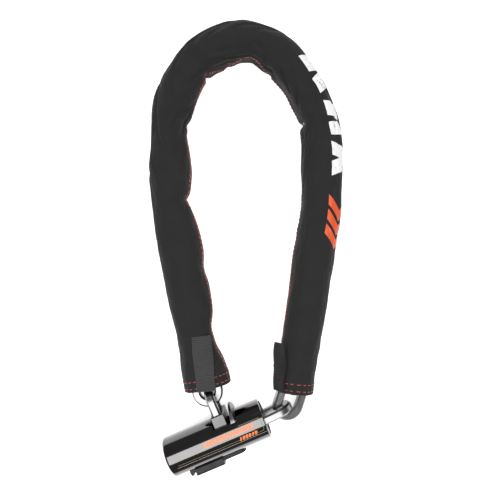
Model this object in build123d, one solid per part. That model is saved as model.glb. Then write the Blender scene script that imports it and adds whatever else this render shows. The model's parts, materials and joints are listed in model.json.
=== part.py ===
from build123d import *
from math import atan2, cos, degrees, radians, sin
import os

# A heavy chain lock, lying flat: a square-bar chain inside a woven sleeve, closed by a round
# key lock. The captive link stays in the lock; the end plug on the last link drops into the
# lock's socket, and a key-driven bolt holds it there.
# Millimetres, +Z up. The part stands on Z = 0, and its origin is under the middle of its box.
# The lock has its own axes: U along its barrel, N towards its socket, Z up.

# ---- chain
bar = 10.0                      # square bar of every link
bar_chamfer = 2.0
link_inner_width = 17.0
link_inner_length = 36.0
leg_slack = 2.2                 # play between two links in the straight legs
bend_slack = 5.5                # play between two links in the loose bend
link_width = link_inner_width + 2 * bar
link_length = link_inner_length + 2 * bar

# ---- sleeve
sleeve_wall = 1.5
sleeve_side_room = 3.4          # between the widest link and the sleeve, each side
sleeve_height_room = 1.2
sleeve_corner = 18.0
fold_reach = 28.0               # soft cloth each side of a fold line
body_gap = 0.3                  # between two pieces that move apart
sleeve_route = [(-51, -163), (-68, -84), (-92, 48), (-99, 152), (-72, 232), (-12, 260), (46, 234),
                (84, 164), (88, 90), (68, -72), (53.5, -168)]
route_bends = [320, 500, 260, 72, 74, 96, 170, 300, 330]
route_lift = sleeve_wall + sleeve_height_room + link_width / 2

# ---- lock barrel
lock_middle = (-37.8, -224.4)
lock_turn = 22.9                # U axis from +X
barrel_radius = 24.0
barrel_length = 124.0
barrel_high = 60.0              # right end, in U
barrel_wall = 3.0
end_cap_thickness = 5.0
end_cap_rounding = 3.5
end_cap_spigot = 5.0
press_fit = 0.05
core_fit = 0.1
edge_break = 0.8
core_gap = 4.0                  # behind the bolt's yoke
spring_depth = 9.0              # seat of the bolt spring

# ---- socket and end plug
socket_low, socket_high = 0.6, 23.0     # pocket in U
socket_ledge = 14.0                     # flat that the barrel is cut to, in N
plug_middle = 10.3                      # in U
head_width = 16.4
head_shift = 0.4                        # head middle past the plug's middle, in U
head_top = barrel_radius + 4.5
head_lift = 0.6
head_half_height = barrel_radius - 3.5
head_bevel = 1.0
shank_width = 13.8
shank_floor = -10.0
shank_half_height = barrel_radius - 6.0
shank_corner = 6.0
socket_play = 0.4
guide_length = 10.0
lip_thickness = 3.8
lip_top = barrel_radius + 9.0
lip_radius = barrel_radius - 1.0
lip_flare = 3.0                         # lean away from the plug, at the lip's top
lip_hood = 2.2                          # out over the barrel
lip_bevel = 0.9
plug_pin_radius = 3.5
plug_pin_reach = 0.6                    # past the shank, each side
link_play = 0.3
pocket_play = 0.4                       # round a link's crown
link_seat = 4.0                         # outer crown of the end link, in N

# ---- bolt and key cylinder
bolt_radius = 4.5
bolt_line = -2.5                        # in N
bolt_travel = 14.0
bolt_play = 0.3
yoke_wall = 1.9
yoke_top = 13.4
yoke_flat = 1.0
crank_pin_radius = 2.0
crank_wall = 1.0
crank_play = 0.45
key_line = -21.0                        # in U
key_plug_radius = 6.4
shell_radius = key_plug_radius + 1.2
ring_rise = 1.0
ring_wall = 0.8
key_face = 1.4 - barrel_radius            # in N
shell_floor = -10.4
cam_thickness = 2.4
cam_play = 0.3
hub_step = 1.2
keyway_stop = 1.5
turn_play = 0.12
keyway_width, keyway_height = 2.4, 8.0
wafer_count = 5
wafer_thickness = 0.8
wafer_pitch = 2.0
wafer_start = 2.5
wafer_half_width, wafer_half_height = 3.1, key_plug_radius - 1.2
spring_wire = 1.1
spring_radius = 3.2
spring_turns = 7

# ---- captive link
captive_pin_line = 53.4                 # in U
captive_pin_radius = 3.6
captive_lean = 2.5
captive_side_play = 1.4
anchor_face = 57.0
right_cap_face = 58.8
cap_slot_play = 0.2
block_pin_radius = 1.5
block_pin_length = 3.5                  # inside the bore
block_pins = ((-6.7, 41.6), (51.5, 61.5))   # place in U and turn about it

# ---- dust cover
rail_low, rail_high = -46.0, 25.4
rail_half_width = 9.0
rail_top = -barrel_radius - 2.4
rail_stop_length, rail_stop_top = 3.5, rail_top - 2.8
rail_stop_step = 1.5
rail_end_round = 8.0
groove_depth = 1.5                      # below the rail's top
groove_width = 1.3
rib_count, rib_width, rib_rise, rib_pitch = 8, 1.2, 0.7, 3.0
rib_start, rib_inset = 4.0, 3.0
slider_low, slider_high = -39.0, -3.4
slider_top = rail_top - 4.6
slider_wall = 1.7
slider_play = 0.3
skirt_depth = 3.8                       # below the rail's top
hook_reach = 0.7
hook_depth, hook_thickness = 1.8, 0.7
slider_round = 2.5
leaf_length, leaf_width, leaf_thickness = 16.0, 6.0, 0.6
leaf_inset = 0.2
rivet_radius = 1.5
rivet_sink = 0.2
rivet_insets = (6.0, 6.7)

# ---- end rings and straps
ring_foot, ring_head = (-48.0, -188.2), (-57.0, -132.8)
right_foot, right_head = (39.9, -204.2), (57.2, -150.9)
ring_lift = (route_lift + barrel_radius) / 2 - 0.4
right_roll = 15.0
first_twist = 15.0               # from square, between the right link and the first hidden one
strap_width, strap_thickness = 23.0, 2.2
left_strap_length, left_strap_foot, left_strap_lean = 64.5, (-50.9, -165.3), 5.5
right_strap_length, right_strap_foot, right_strap_lean = 56.0, (34.0, -166.0), -0.5
right_strap_roll, right_strap_lift = -60.0, 40.0

# ---- fold lines, counted in contacts of the hidden chain
span_links = 3                          # links between two fold lines
end_links = 2                           # links below the first fold line, left leg
end_lean, middle_lean, upper_lean = 8.0, 10.4, 3.0

bore_radius = barrel_radius - barrel_wall
core_radius = bore_radius - core_fit
barrel_low = barrel_high - barrel_length
lock_place = Location((*lock_middle, barrel_radius), (0, 0, lock_turn))


def block(low, high):
    """A box between two corners."""
    size = [b - a for a, b in zip(low, high)]
    middle = [(a + b) / 2 for a, b in zip(low, high)]
    return Pos(*middle) * Box(*size)


def rod_u(radius, low, high, n=0.0, z=0.0):
    """A round bar along U."""
    return Pos((low + high) / 2, n, z) * Rot(0, 90, 0) * Cylinder(radius, high - low)


def rod_n(radius, low, high, u=0.0, z=0.0):
    """A round bar along N."""
    return Pos(u, (low + high) / 2, z) * Rot(90, 0, 0) * Cylinder(radius, high - low)


def chain_link():
    """One link, long axis along Y, lying in the XY plane."""
    outline = Rot(0, 0, 90) * SlotOverall(link_length, link_width)
    eye = Rot(0, 0, 90) * SlotOverall(link_inner_length, link_inner_width)
    ring = extrude(outline - eye, bar / 2, both=True)
    flats = ring.faces().filter_by(Axis.Z)
    return chamfer(flats.edges(), bar_chamfer)


def heading(start, finish):
    """Turn about Z that points Y from one place to another."""
    return degrees(atan2(finish[1] - start[1], finish[0] - start[0])) - 90


def link_between(start, finish, lift, roll):
    """A link whose middle is halfway between two contacts."""
    middle = ((start[0] + finish[0]) / 2, (start[1] + finish[1]) / 2, lift)
    return Location(middle, (0, 0, heading(start, finish))) * Rot(0, roll, 0) * link


def row_of_links(contacts, rolls):
    """Hidden links, one between each two contacts."""
    pairs = zip(contacts, contacts[1:], rolls)
    return [link_between(start, finish, route_lift, roll) for start, finish, roll in pairs]


# ---- sleeve route
def route_place(length):
    """The place that is this far along the route from the left hem."""
    spot = route.position_at(length / route.length, position_mode=PositionMode.PARAMETER)
    return (spot.X, spot.Y)


def route_crossing(height, left):
    """How far along the route one leg crosses a line of constant Y."""
    low, high = (0, route.length / 2) if left else (route.length, route.length / 2)
    for _ in range(40):
        middle = (low + high) / 2
        if route_place(middle)[1] < height:
            low = middle
        else:
            high = middle
    return (low + high) / 2


def contacts_along(start, finish, count):
    """Evenly spaced contacts between two lengths along the route, both ends included."""
    return [route_place(start + (finish - start) * i / count) for i in range(count + 1)]


def along(start, finish, distance):
    """The place this far from start towards finish."""
    span = Vector(*finish) - Vector(*start)
    place = Vector(*start) + span.normalized() * distance
    return (place.X, place.Y)


link = chain_link()
route_corners = [Vector(x, y, route_lift) for x, y in sleeve_route]
route = FilletPolyline(*route_corners, radius=route_bends)

leg_pitch = link_inner_length - leg_slack
contact_inset = bar + leg_slack / 2      # from a link's outer tip to its contact
left_contact = along(ring_head, ring_foot, contact_inset)
right_contact = along(right_head, right_foot, contact_inset)
fold_1 = left_contact[1] + end_links * leg_pitch * cos(radians(end_lean))
fold_2 = fold_1 + span_links * leg_pitch * cos(radians(middle_lean))
fold_3 = fold_2 + span_links * leg_pitch * cos(radians(upper_lean))
left_marks = [route_crossing(height, True) for height in (fold_1, fold_2, fold_3)]
right_marks = [route_crossing(height, False) for height in (fold_1, fold_2, fold_3)]
bend_length = right_marks[2] - left_marks[2]
bend_count = 2 * round((bend_length / (link_inner_length - bend_slack) - 1) / 2) + 1
upright, level = 90.0, 0.0
crown_step = link_length / 2 - bar / 2 - leg_pitch / 2
fold_axes = [fold_1 + crown_step, fold_2 - crown_step, fold_3 + crown_step]


def hidden_chain():
    """Links inside the sleeve, grouped by the body that carries them."""
    left_start = route_crossing(left_contact[1], True)
    left_low = [left_contact] + contacts_along(left_start, left_marks[0], end_links)[1:]
    right_end = route_crossing(right_contact[1], False)
    right_low = contacts_along(right_marks[0], right_end, end_links + 1)[:-1] + [right_contact]
    twist = (upright - right_roll - first_twist) / 2
    low_links = row_of_links(left_low, [upright, level])
    low_links += row_of_links(right_low, [level, twist - upright, upright - right_roll - first_twist])
    groups = {"lower_links": low_links}
    spans = (("middle_links", 0, [upright, level, upright]), ("upper_links", 1, [level, upright, level]))
    for name, i, rolls in spans:
        left_row = contacts_along(left_marks[i], left_marks[i + 1], span_links)
        right_row = contacts_along(right_marks[i], right_marks[i + 1], span_links)
        groups[name] = row_of_links(left_row, rolls) + row_of_links(right_row, rolls)
    bend_row = contacts_along(left_marks[2], right_marks[2], bend_count)
    groups["bend_links"] = row_of_links(bend_row, [upright, level] * bend_count)
    return groups


def sleeve_pieces():
    """The woven sleeve, parted where it folds."""
    width = link_width + 2 * (sleeve_side_room + sleeve_wall)
    height = 2 * route_lift
    section = RectangleRounded(width, height, sleeve_corner)
    section -= RectangleRounded(width - 2 * sleeve_wall, height - 2 * sleeve_wall, sleeve_corner - sleeve_wall)
    start = route.location_at(0)
    mouth = Plane(origin=start.position, z_dir=route.tangent_at(0), x_dir=(0, 0, 1)) * Rot(0, 0, 90)
    tube = sweep(mouth * section, path=route)
    far = 1000.0
    gap = body_gap / 2
    edges = [-far]
    for height in fold_axes:
        edges += [height - fold_reach, height + fold_reach]
    edges += [far]
    names = ["sleeve_ends", "sleeve_fold_lower", "sleeve_middle", "sleeve_fold_middle", "sleeve_upper",
             "sleeve_fold_upper", "sleeve_bend"]
    pieces = {}
    for name, low, high in zip(names, edges, edges[1:]):
        slab = block((-far, low + gap, -far), (far, high - gap, far))
        pieces[name] = tube & slab
    return pieces


# ---- lock pieces, in the lock's own axes
def barrel():
    """Outer tube, open at the socket, the key cylinder and the pins."""
    tube = rod_u(barrel_radius, barrel_low + end_cap_thickness, barrel_high)
    tube = chamfer(tube.edges().filter_by(GeomType.CIRCLE).sort_by(Axis.X)[-1], edge_break)
    tube -= rod_u(bore_radius, barrel_low, barrel_high + 1)
    tube -= block((socket_low, socket_ledge, -barrel_radius),
                  (socket_high + lip_thickness + core_fit, 2 * barrel_radius, barrel_radius))
    tube -= shank_shape(socket_play, (socket_low, socket_high))
    tube -= rod_n(shell_radius + press_fit, -barrel_radius - 1, 0, key_line)
    for pin in retaining_pins(press_fit):
        tube -= pin
    for rivet in rail_rivets(press_fit):
        tube -= rivet
    return tube


def left_end_cap():
    """Rounded blind end, pressed into the barrel."""
    disc = rod_u(barrel_radius, barrel_low, barrel_low + end_cap_thickness)
    disc = fillet(disc.edges().filter_by(GeomType.CIRCLE).sort_by(Axis.X)[0], end_cap_rounding)
    spigot_low = barrel_low + end_cap_thickness
    return disc + rod_u(bore_radius - press_fit, spigot_low, spigot_low + end_cap_spigot)


yoke_half = crank_pin_radius + crank_play
crank_reach = bolt_travel / 2 / sin(radians(45))
yoke_line = key_line - bolt_travel / 2
yoke_low = yoke_line - yoke_half - yoke_wall
yoke_high = yoke_line + yoke_half + yoke_wall
guide_low = socket_low - guide_length
core_high = yoke_low - core_gap
core_low = barrel_low + end_cap_thickness + end_cap_spigot + core_fit
spring_seat = core_high - spring_depth
cam_low = shell_floor + cam_play
cam_high = cam_low + cam_thickness


def rear_core():
    """Solid rear filler that seats the bolt spring."""
    core = rod_u(core_radius, core_low, core_high)
    return core - rod_u(spring_radius + spring_wire, spring_seat, core_high + 1, bolt_line)


def bolt_spring():
    """Coil that pushes on the back of the bolt."""
    height = yoke_low - spring_seat - spring_wire - 2 * core_fit
    coil_path = Helix(height / spring_turns, height, spring_radius)
    wire_end = Plane(origin=coil_path.position_at(0), z_dir=coil_path.tangent_at(0))
    coil = sweep(wire_end * Circle(spring_wire / 2), path=coil_path, is_frenet=True)
    return Pos(spring_seat + spring_wire / 2 + core_fit, bolt_line, 0) * Rot(0, 90, 0) * coil


def cylinder_carrier():
    """Lower half block that holds the key cylinder."""
    carrier = rod_u(core_radius, core_high + core_fit, guide_low - core_fit)
    carrier &= block((barrel_low, -barrel_radius, -barrel_radius),
                     (barrel_high, shell_floor, barrel_radius))
    return carrier - rod_n(shell_radius + press_fit, -barrel_radius, 0, key_line)


def cylinder_shell():
    """Fixed sleeve of the key cylinder."""
    shell = rod_n(shell_radius, key_face, shell_floor, key_line)
    return shell - rod_n(key_plug_radius + turn_play, key_face - 1, 0, key_line)


def keyway_ring():
    """Hard ring round the keyway."""
    ring = rod_n(shell_radius, key_face - ring_rise, key_face, key_line)
    return ring - rod_n(keyway_height / 2 + ring_wall, key_face - 2 * ring_rise, key_face + 1, key_line)


def wafers(grow=0.0):
    """Flat tumblers, side by side in the key plug."""
    plates = []
    for i in range(wafer_count):
        n = key_face + wafer_start + i * wafer_pitch
        across, thick, high = (size + grow for size in (wafer_half_width, wafer_thickness / 2, wafer_half_height))
        plate = block((key_line - across, n - thick, -high), (key_line + across, n + thick, high))
        if not grow:
            plate -= keyway()
        plates.append(plate)
    return plates


def keyway():
    """The space for the key blade."""
    half_width, half_height = keyway_width / 2, keyway_height / 2
    return block((key_line - half_width, key_face - 1, -half_height),
                 (key_line + half_width, shell_floor - keyway_stop, half_height))


def key_plug():
    """Turning core of the key cylinder."""
    plug = rod_n(key_plug_radius, key_face + turn_play, cam_low, key_line) - keyway()
    for pocket in wafers(core_fit):
        plug -= pocket
    return plug


def bolt_cam():
    """Crank arm on the key plug, with the pin that drives the bolt."""
    pin_u, pin_z = key_line - bolt_travel / 2, bolt_travel / 2
    eye_radius = crank_pin_radius + crank_wall
    hub = rod_n(key_plug_radius - hub_step, cam_low, cam_high, key_line)
    eye = rod_n(eye_radius, cam_low, cam_high, pin_u, pin_z)
    middle = Pos((key_line + pin_u) / 2, pin_z / 2)
    web_plan = middle * Rot(0, 0, -45) * Rectangle(crank_reach, 2 * eye_radius)
    web = Pos(0, cam_high, 0) * Rot(90, 0, 0) * extrude(web_plan, cam_thickness)
    pin = rod_n(crank_pin_radius, cam_low, bolt_line + bolt_radius - yoke_flat, pin_u, pin_z)
    return hub + eye + web + pin


def locking_bolt():
    """Round bolt with an upright yoke that the crank pin drives."""
    shaft = rod_u(bolt_radius, yoke_low, socket_low - socket_play, bolt_line)
    half = bolt_radius - yoke_flat
    yoke = block((yoke_low, bolt_line - half, -bolt_radius), (yoke_high, bolt_line + half, yoke_top))
    slot_low = bolt_travel / 2 - yoke_half
    slot = block((yoke_line - yoke_half, -barrel_radius, slot_low),
                 (yoke_line + yoke_half, barrel_radius, crank_reach + yoke_half))
    return shaft + yoke - slot


def socket_block():
    """Steel block with the plug's pocket, the bolt's guide and the polished lip."""
    low, high = socket_low - guide_length, socket_high + lip_thickness
    body = rod_u(core_radius, low, high)
    body -= block((socket_low, socket_ledge, -barrel_radius), (socket_high, 2 * barrel_radius, barrel_radius))
    lip = rod_u(lip_radius, socket_high, high + lip_hood, lip_top - lip_radius)
    lip = chamfer(lip.edges().filter_by(GeomType.CIRCLE).sort_by(Axis.X)[-1], lip_bevel)
    lip -= block((low, -barrel_radius, -2 * barrel_radius), (barrel_high, socket_ledge, 2 * barrel_radius))
    body += lip - rod_u(barrel_radius + body_gap, high, barrel_high)
    flare_low, flare_high = socket_ledge + head_lift, lip_top + 1
    flare = Polyline((socket_high - 1, flare_low), (socket_high, flare_low), (socket_high + lip_flare, flare_high),
                     (socket_high - 1, flare_high), close=True)
    body -= extrude(make_face(flare), 2 * barrel_radius, both=True)
    body -= shank_shape(socket_play, (socket_low, socket_high))
    for pin in retaining_pins(press_fit):
        body -= pin
    return body - rod_u(bolt_radius + bolt_play, low - 1, socket_low + 1, bolt_line)


def shank_shape(grow, reach):
    """The plug's shank, or the pocket for it, across the given stretch of U."""
    half, floor = shank_half_height + grow, shank_floor - grow
    top = 2 * barrel_radius
    outline = Polyline((top, half), (floor + shank_corner, half), (floor, half - shank_corner),
                       (floor, shank_corner - half), (floor + shank_corner, -half), (top, -half), close=True)
    return Pos(reach[0], 0, 0) * extrude(Plane.YZ * make_face(outline), reach[1] - reach[0])


def end_plug():
    """Square plug that closes the loop, with a pocket for the last link."""
    head_low = socket_ledge + head_lift
    shank = shank_shape(0, (plug_middle - shank_width / 2, plug_middle + shank_width / 2))
    shank &= block((0, shank_floor - 1, -barrel_radius), (socket_high, head_low + 1, barrel_radius))
    head_middle = plug_middle + head_shift
    head = block((head_middle - head_width / 2, head_low, -head_half_height),
                 (head_middle + head_width / 2, head_top, head_half_height))
    head = chamfer(head.edges(), head_bevel)
    pocket_radius = link_width / 2 + pocket_play
    pocket_line = link_seat + link_width / 2
    half = bar / 2 + link_play
    pocket = rod_u(pocket_radius, plug_middle - half, plug_middle + half, pocket_line)
    pocket += block((plug_middle - half, pocket_line, -pocket_radius),
                    (plug_middle + half, head_top + 1, pocket_radius))
    hole = rod_u(bolt_radius + pocket_play, 0, socket_low + bolt_travel + pocket_play, bolt_line)
    return head + shank - pocket - hole - plug_pin(press_fit)


def plug_pin(grow=0.0):
    """Cross pin that keeps the last link in the plug."""
    n = link_seat + bar + link_play + plug_pin_radius
    half = shank_width / 2 + plug_pin_reach
    return rod_u(plug_pin_radius + grow, plug_middle - half, plug_middle + half, n)


def anchor_block():
    """Steel block that holds the captive link and its pin."""
    body = rod_u(core_radius, socket_high + lip_thickness + core_fit, anchor_face)
    half = bar / 2 + captive_side_play
    pocket_radius = link_width / 2 + pocket_play
    pocket_line = captive_pin_line - captive_pin_radius - link_play - bar + link_width / 2
    body -= rod_n(pocket_radius, -half, half, pocket_line)
    body -= block((pocket_line, -half, -pocket_radius), (barrel_high, half, pocket_radius))
    for pin in retaining_pins(press_fit):
        body -= pin
    return body - captive_pin(press_fit)


def captive_pin(grow=0.0):
    """Pin through the captive link's eye."""
    reach = core_radius - captive_pin_radius / 2
    return rod_n(captive_pin_radius + grow, -reach, reach, captive_pin_line)


def right_cap():
    """Recessed cover plate with the captive link's slot."""
    plate = rod_u(core_radius, anchor_face + core_fit, right_cap_face)
    half = bar / 2 + captive_side_play + cap_slot_play
    height = link_width / 2 + pocket_play + cap_slot_play
    return plate - block((anchor_face - 1, -half, -height), (barrel_high, half, height))


def captive_link():
    """The link that never leaves the lock."""
    middle = captive_pin_line - captive_pin_radius - link_play - bar + link_length / 2
    swing = Pos(captive_pin_line, 0, 0) * Rot(0, 0, captive_lean) * Pos(-captive_pin_line, 0, 0)
    return swing * Pos(middle, 0, 0) * Rot(0, 0, -90) * Rot(0, 90, 0) * link


def retaining_pins(grow=0.0):
    """Short radial pins that keep the socket and anchor blocks in the barrel."""
    pins = []
    for u, angle in block_pins:
        for side in (1, -1):
            inner, outer = bore_radius - block_pin_length - grow, barrel_radius - rivet_sink + 3 * grow
            pins.append(Rot(side * angle, 0, 0) * rod_n(block_pin_radius + grow, inner, outer, u))
    return pins


def dust_rail():
    """Long rail on the key side that carries the dust cover."""
    rail = block((rail_low, rail_top, -rail_half_width), (rail_high, -barrel_radius / 2, rail_half_width))
    rail = fillet(rail.edges().filter_by(Axis.Y).group_by(Axis.X)[-1], rail_end_round)
    stop_half = rail_half_width - rail_stop_step
    rail += block((rail_low, rail_stop_top, -stop_half), (rail_low + rail_stop_length, rail_top + 1, stop_half))
    rib_half = rail_half_width - rib_inset
    for i in range(rib_count):
        u = rail_high - rib_start - i * rib_pitch
        rail += block((u - rib_width, rail_top - rib_rise, -rib_half), (u, rail_top, rib_half))
    groove_top = rail_top + groove_depth
    groove = block((rail_low + rail_stop_length, groove_top, rail_half_width - hook_reach - slider_play),
                   (rail_high + 1, groove_top + groove_width, rail_half_width + 1))
    rail -= groove
    rail -= mirror(groove, Plane.XY)
    rail -= rod_u(barrel_radius + press_fit, rail_low - 1, rail_high + 1)
    for rivet in rail_rivets(press_fit):
        rail -= rivet
    rail -= rod_n(shell_radius + slider_play, key_face - ring_rise - slider_play, 0, key_line)
    return rail - rod_n(key_plug_radius, -2 * barrel_radius, 0, key_line)


def rail_rivets(grow=0.0):
    """Two rivets through the rail and the barrel."""
    places = (rail_low + rivet_insets[0], rail_high - rivet_insets[1])
    head_face = rail_top + rivet_sink - 6 * grow
    return [rod_n(rivet_radius + grow, head_face, -bore_radius + grow, u) for u in places]


def dust_slider():
    """Sliding cover over the keyway, hooked into the rail's grooves."""
    inner = rail_half_width + slider_play
    outer = inner + slider_wall
    cover = block((slider_low, slider_top, -outer), (slider_high, rail_top + skirt_depth, outer))
    cover = fillet(cover.edges().filter_by(Axis.X).group_by(Axis.Y)[0], slider_round)
    roof = rail_top - rib_rise - slider_play
    cover -= block((slider_low - 1, roof, -inner), (slider_high + 1, 0, inner))
    cover -= spring_leaf(core_fit)
    hook_low, hook_high = rail_top + hook_depth, rail_top + hook_depth + hook_thickness
    hook = block((slider_low, hook_low, rail_half_width - hook_reach), (slider_high, hook_high, inner + 1))
    return cover + hook + mirror(hook, Plane.XY)


def spring_leaf(grow=0.0):
    """Leaf in the slider's roof that clicks along the ribs."""
    roof = rail_top - rib_rise - slider_play
    middle = (slider_low + slider_high) / 2
    long_half, wide_half = leaf_length / 2 + grow, leaf_width / 2 + grow
    low, high = roof - leaf_inset - leaf_thickness - grow, roof - leaf_inset + 10 * grow
    return block((middle - long_half, low, -wide_half), (middle + long_half, high, wide_half))


def strap(length, foot, lean, lift, roll):
    """A hook-and-loop tab that runs up from its sewn foot."""
    tab = Pos(0, length / 2, 0) * Box(strap_width, length, strap_thickness)
    return Location((*foot, lift), (0, 0, lean)) * Rot(0, roll, 0) * tab


lock_pieces = {
    "barrel": barrel(),
    "left_end_cap": left_end_cap(),
    "rear_core": rear_core(),
    "bolt_spring": bolt_spring(),
    "cylinder_carrier": cylinder_carrier(),
    "cylinder_shell": cylinder_shell(),
    "keyway_ring": keyway_ring(),
    "key_plug": key_plug(),
    "key_wafers": wafers(),
    "bolt_cam": bolt_cam(),
    "locking_bolt": locking_bolt(),
    "socket_block": socket_block(),
    "anchor_block": anchor_block(),
    "captive_pin": captive_pin(),
    "right_cap": right_cap(),
    "captive_link": captive_link(),
    "retaining_pins": retaining_pins(),
    "dust_rail": dust_rail(),
    "rail_rivets": rail_rivets(),
    "dust_slider": dust_slider(),
    "slider_leaf": spring_leaf(),
    "end_plug": end_plug(),
    "plug_pin": plug_pin(),
    "end_link": Pos(plug_middle, link_seat + link_length / 2, 0) * Rot(0, 90, 0) * link,
}

nodes = {}
for name, shape in lock_pieces.items():
    nodes[name] = [lock_place * piece for piece in shape] if isinstance(shape, list) else lock_place * shape
nodes["ring_link"] = link_between(ring_foot, ring_head, ring_lift, level)
nodes["right_link"] = link_between(right_foot, right_head, ring_lift, right_roll)
nodes.update(hidden_chain())
nodes.update(sleeve_pieces())
left_strap_lift = 2 * route_lift + body_gap + strap_thickness / 2
nodes["left_strap"] = strap(left_strap_length, left_strap_foot, left_strap_lean, left_strap_lift, 0)
nodes["right_strap"] = strap(right_strap_length, right_strap_foot, right_strap_lean, right_strap_lift,
                             right_strap_roll)

for name, shape in nodes.items():
    solids = [solid for piece in shape for solid in piece.solids()] if isinstance(shape, list) else shape.solids()
    nodes[name] = Compound(solids) if len(solids) > 1 else solids[0]

box = Compound(list(nodes.values())).bounding_box()
origin_shift = Location((-box.center().X, -box.center().Y, -box.min.Z))

os.makedirs("parts", exist_ok=True)
for name, shape in nodes.items():
    export_step(shape.moved(origin_shift), f"parts/{name}.step")
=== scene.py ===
import json
import logging
import math
from dataclasses import dataclass, field
from enum import Enum

import bpy
from mathutils import Matrix, Vector, noise


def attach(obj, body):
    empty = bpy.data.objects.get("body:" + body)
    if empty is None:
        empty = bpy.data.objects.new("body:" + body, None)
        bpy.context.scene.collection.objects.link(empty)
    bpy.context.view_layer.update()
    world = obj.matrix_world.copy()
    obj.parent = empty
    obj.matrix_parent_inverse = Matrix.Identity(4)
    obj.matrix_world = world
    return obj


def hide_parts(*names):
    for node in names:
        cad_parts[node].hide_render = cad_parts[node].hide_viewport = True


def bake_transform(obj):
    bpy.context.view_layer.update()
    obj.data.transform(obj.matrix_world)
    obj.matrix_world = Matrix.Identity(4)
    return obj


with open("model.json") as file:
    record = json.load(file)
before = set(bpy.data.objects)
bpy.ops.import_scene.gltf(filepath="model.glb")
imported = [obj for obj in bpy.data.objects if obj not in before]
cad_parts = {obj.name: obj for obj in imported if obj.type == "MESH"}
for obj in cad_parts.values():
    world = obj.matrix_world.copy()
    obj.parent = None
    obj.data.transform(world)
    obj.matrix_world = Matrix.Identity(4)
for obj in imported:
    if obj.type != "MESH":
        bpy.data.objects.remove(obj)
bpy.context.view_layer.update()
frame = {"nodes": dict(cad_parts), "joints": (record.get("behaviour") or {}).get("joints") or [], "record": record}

log = logging.getLogger("chain_lock")
Colour = tuple[float, float, float]
Place = tuple[float, float, float]
Corner = tuple[int, tuple[float, float]]


class Finish(Enum):
    """The record's material slots, by name."""

    BARREL = "barrel_finish"
    POLISHED = "polished_steel"
    CHAIN = "chain_zinc"
    SATIN = "satin_steel"
    DARK = "dark_steel"
    BRASS = "brass"
    COVER = "cover_plastic"
    SLEEVE = "sleeve_fabric"
    STRAP = "strap_fabric"
    CASTING = "zinc_casting"


class Leg(Enum):
    """The two legs of the loop, with the side of the middle that each lies on."""

    LEFT = -1
    RIGHT = 1


class Nodes:
    """A short way to wire a material's nodes."""

    def __init__(self, name: str) -> None:
        """Starts a node material.

        Args:
            name: the material's name.
        """
        self.material = bpy.data.materials.new(name)
        self.material.use_nodes = True
        self.tree = self.material.node_tree
        self.shader = self.tree.nodes["Principled BSDF"]

    def add(self, kind: str, **settings: object) -> bpy.types.Node:
        """Adds a node.

        Args:
            kind: the node's type name without its ShaderNode prefix.
            settings: attributes, or input sockets by name with _ for a space.

        Returns:
            The new node.
        """
        node = self.tree.nodes.new("ShaderNode" + kind)
        for key, value in settings.items():
            if hasattr(node, key):
                setattr(node, key, value)
            else:
                node.inputs[key.replace("_", " ")].default_value = value
        return node

    def link(self, source: bpy.types.NodeSocket, target: bpy.types.NodeSocket) -> None:
        """Joins two sockets."""
        self.tree.links.new(source, target)

    def maths(self, operation: str, first: object, second: object = 0.0) -> bpy.types.NodeSocket:
        """Adds a Math node.

        Args:
            operation: the Math node's operation.
            first: a socket or a number.
            second: a socket or a number.

        Returns:
            The node's output.
        """
        node = self.add("Math", operation=operation)
        for i, value in enumerate((first, second)):
            if isinstance(value, bpy.types.NodeSocket):
                self.link(value, node.inputs[i])
            else:
                node.inputs[i].default_value = value
        return node.outputs[0]

    def noise(self, coordinates: bpy.types.NodeSocket, scale: float,
              detail: float = 3.0) -> bpy.types.NodeSocket:
        """A noise value.

        Args:
            coordinates: where it is read.
            scale: features per metre.
            detail: octaves.

        Returns:
            The factor output.
        """
        node = self.add("TexNoise", Scale=scale, Detail=detail)
        self.link(coordinates, node.inputs["Vector"])
        return node.outputs["Fac"]

    def ramp(self, factor: bpy.types.NodeSocket, low: Colour, high: Colour, start: float = 0.35,
             end: float = 0.65) -> bpy.types.NodeSocket:
        """A two-colour ramp.

        Args:
            factor: what drives it.
            low: colour at the start.
            high: colour at the end.
            start: factor where the ramp starts.
            end: factor where it ends.

        Returns:
            The colour output.
        """
        node = self.add("ValToRGB")
        node.color_ramp.elements[0].position = start
        node.color_ramp.elements[1].position = end
        node.color_ramp.elements[0].color = (*low, 1)
        node.color_ramp.elements[1].color = (*high, 1)
        self.link(factor, node.inputs["Fac"])
        return node.outputs["Color"]

    def bump(self, height: bpy.types.NodeSocket, strength: float, distance: float,
             below: bpy.types.NodeSocket | None = None) -> bpy.types.NodeSocket:
        """A bump layer on the shader's normal.

        Args:
            height: the height value.
            strength: how much of it shows.
            distance: metres for a height of one.
            below: a bump layer underneath.

        Returns:
            The normal output, already linked to the shader.
        """
        node = self.add("Bump", Strength=strength, Distance=distance)
        self.link(height, node.inputs["Height"])
        if below is not None:
            self.link(below, node.inputs["Normal"])
        self.link(node.outputs["Normal"], self.shader.inputs["Normal"])
        return node.outputs["Normal"]


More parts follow.
